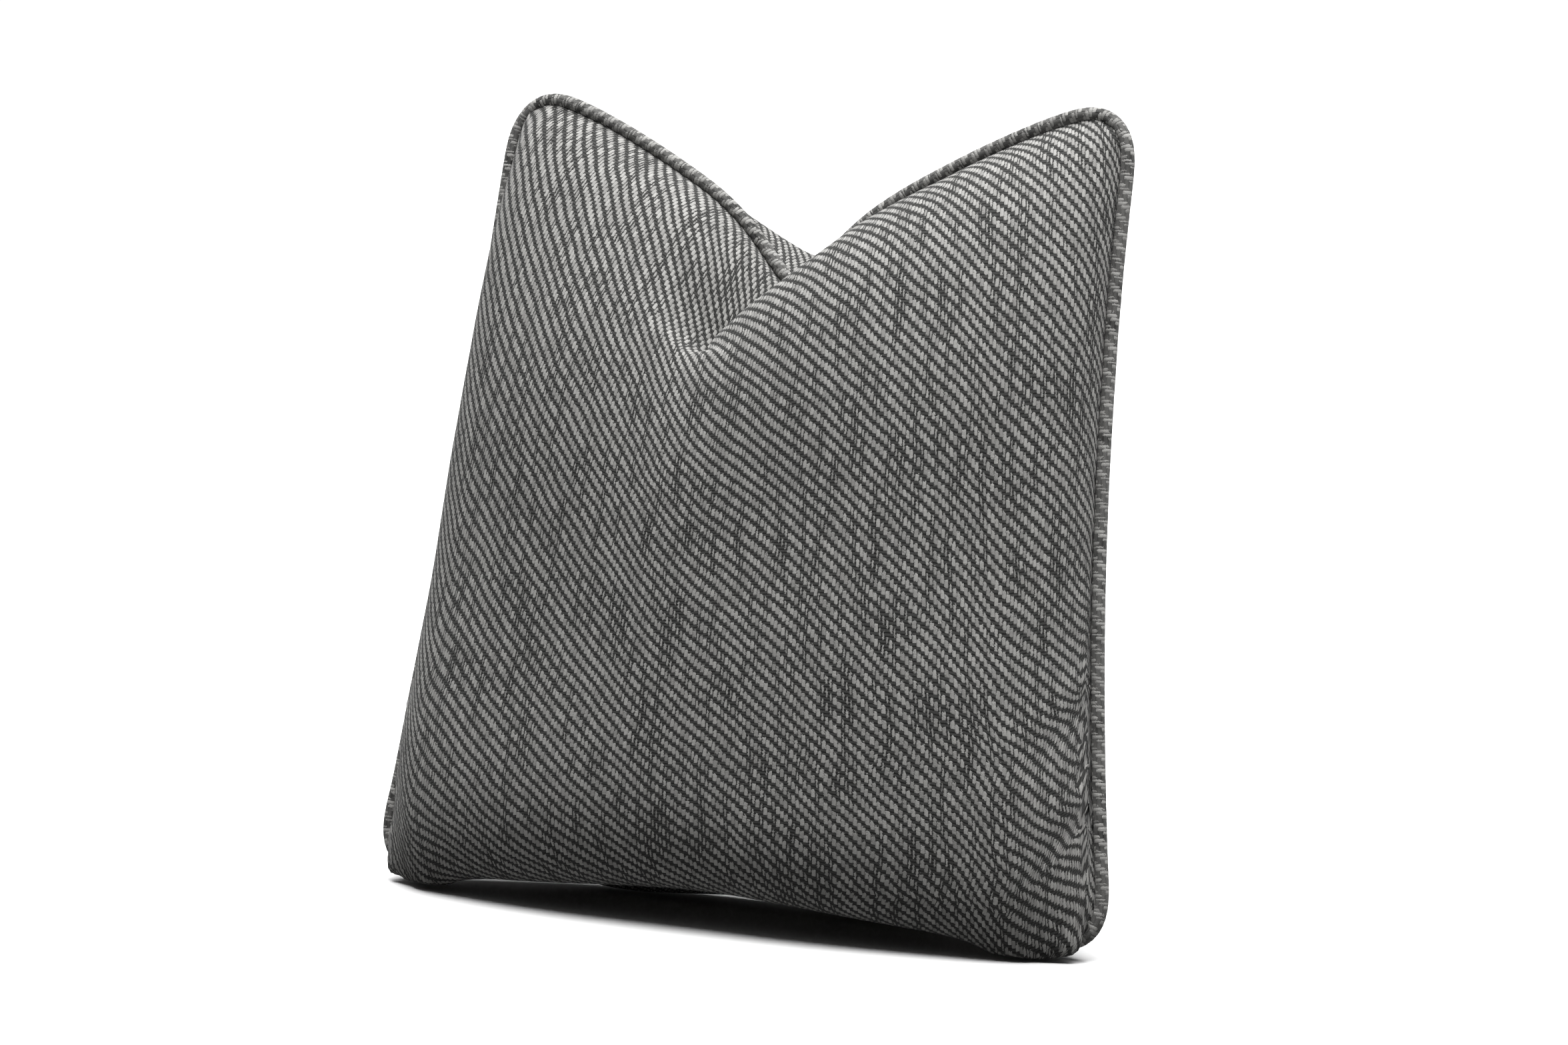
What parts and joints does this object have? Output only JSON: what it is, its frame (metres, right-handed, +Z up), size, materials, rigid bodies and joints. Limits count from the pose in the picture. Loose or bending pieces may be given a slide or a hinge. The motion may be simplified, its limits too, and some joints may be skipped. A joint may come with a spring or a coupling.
{
  "type": "throw pillow",
  "caption": "Square knife-edge throw pillow: zipped, self-piped tweed cover over a stuffed insert, chopped at the top and leaning back on its base.",
  "frame": {"origin": "centre of the bounding box's bottom, on the surface that the pillow stands on", "axes": "+X to the pillow's right as seen from the front, -Y the way the front faces, +Z up"},
  "size_m": [0.4922, 0.2038, 0.4924],
  "materials": {
    "tweed": "chunky two-tone twill of pale grey warp and charcoal weft",
    "piping_tweed": "the same twill, cut as a narrow strip round the cord",
    "cotton_cord": "soft unbleached twisted cotton",
    "insert_cotton": "plain white downproof cotton",
    "fibre_filling": "loose white fibre",
    "zip_tape": "charcoal woven polyester tape",
    "zip_nylon": "charcoal nylon coil",
    "zip_metal": "gunmetal enamel"
  },
  "bodies": {
    "pillow": {"cover_front": "tweed", "cover_back": "tweed", "piping_strip": "piping_tweed", "piping_cord": "cotton_cord", "insert_front": "insert_cotton", "insert_back": "insert_cotton", "filling": "fibre_filling", "zip_tape_front": "zip_tape", "zip_tape_back": "zip_tape", "zip_coil_front": "zip_nylon", "zip_coil_back": "zip_nylon", "zip_top_stops": "zip_metal", "zip_bottom_stop": "zip_metal"},
    "slider": {"zip_slider": "zip_metal"},
    "pull": {"zip_pull": "zip_metal"}
  },
  "joints": [
    {"name": "zip_slide", "type": "slide", "parent": "pillow", "child": "slider", "axis": [1, 0, 0], "range_m": [0, 0.3]},
    {"name": "pull_swing", "type": "hinge", "parent": "slider", "child": "pull", "pos_m": [-0.15, -0.02237, 0.0284], "axis": [0, 0.9816, -0.1908], "range_deg": [-85, 85]}
  ]
}
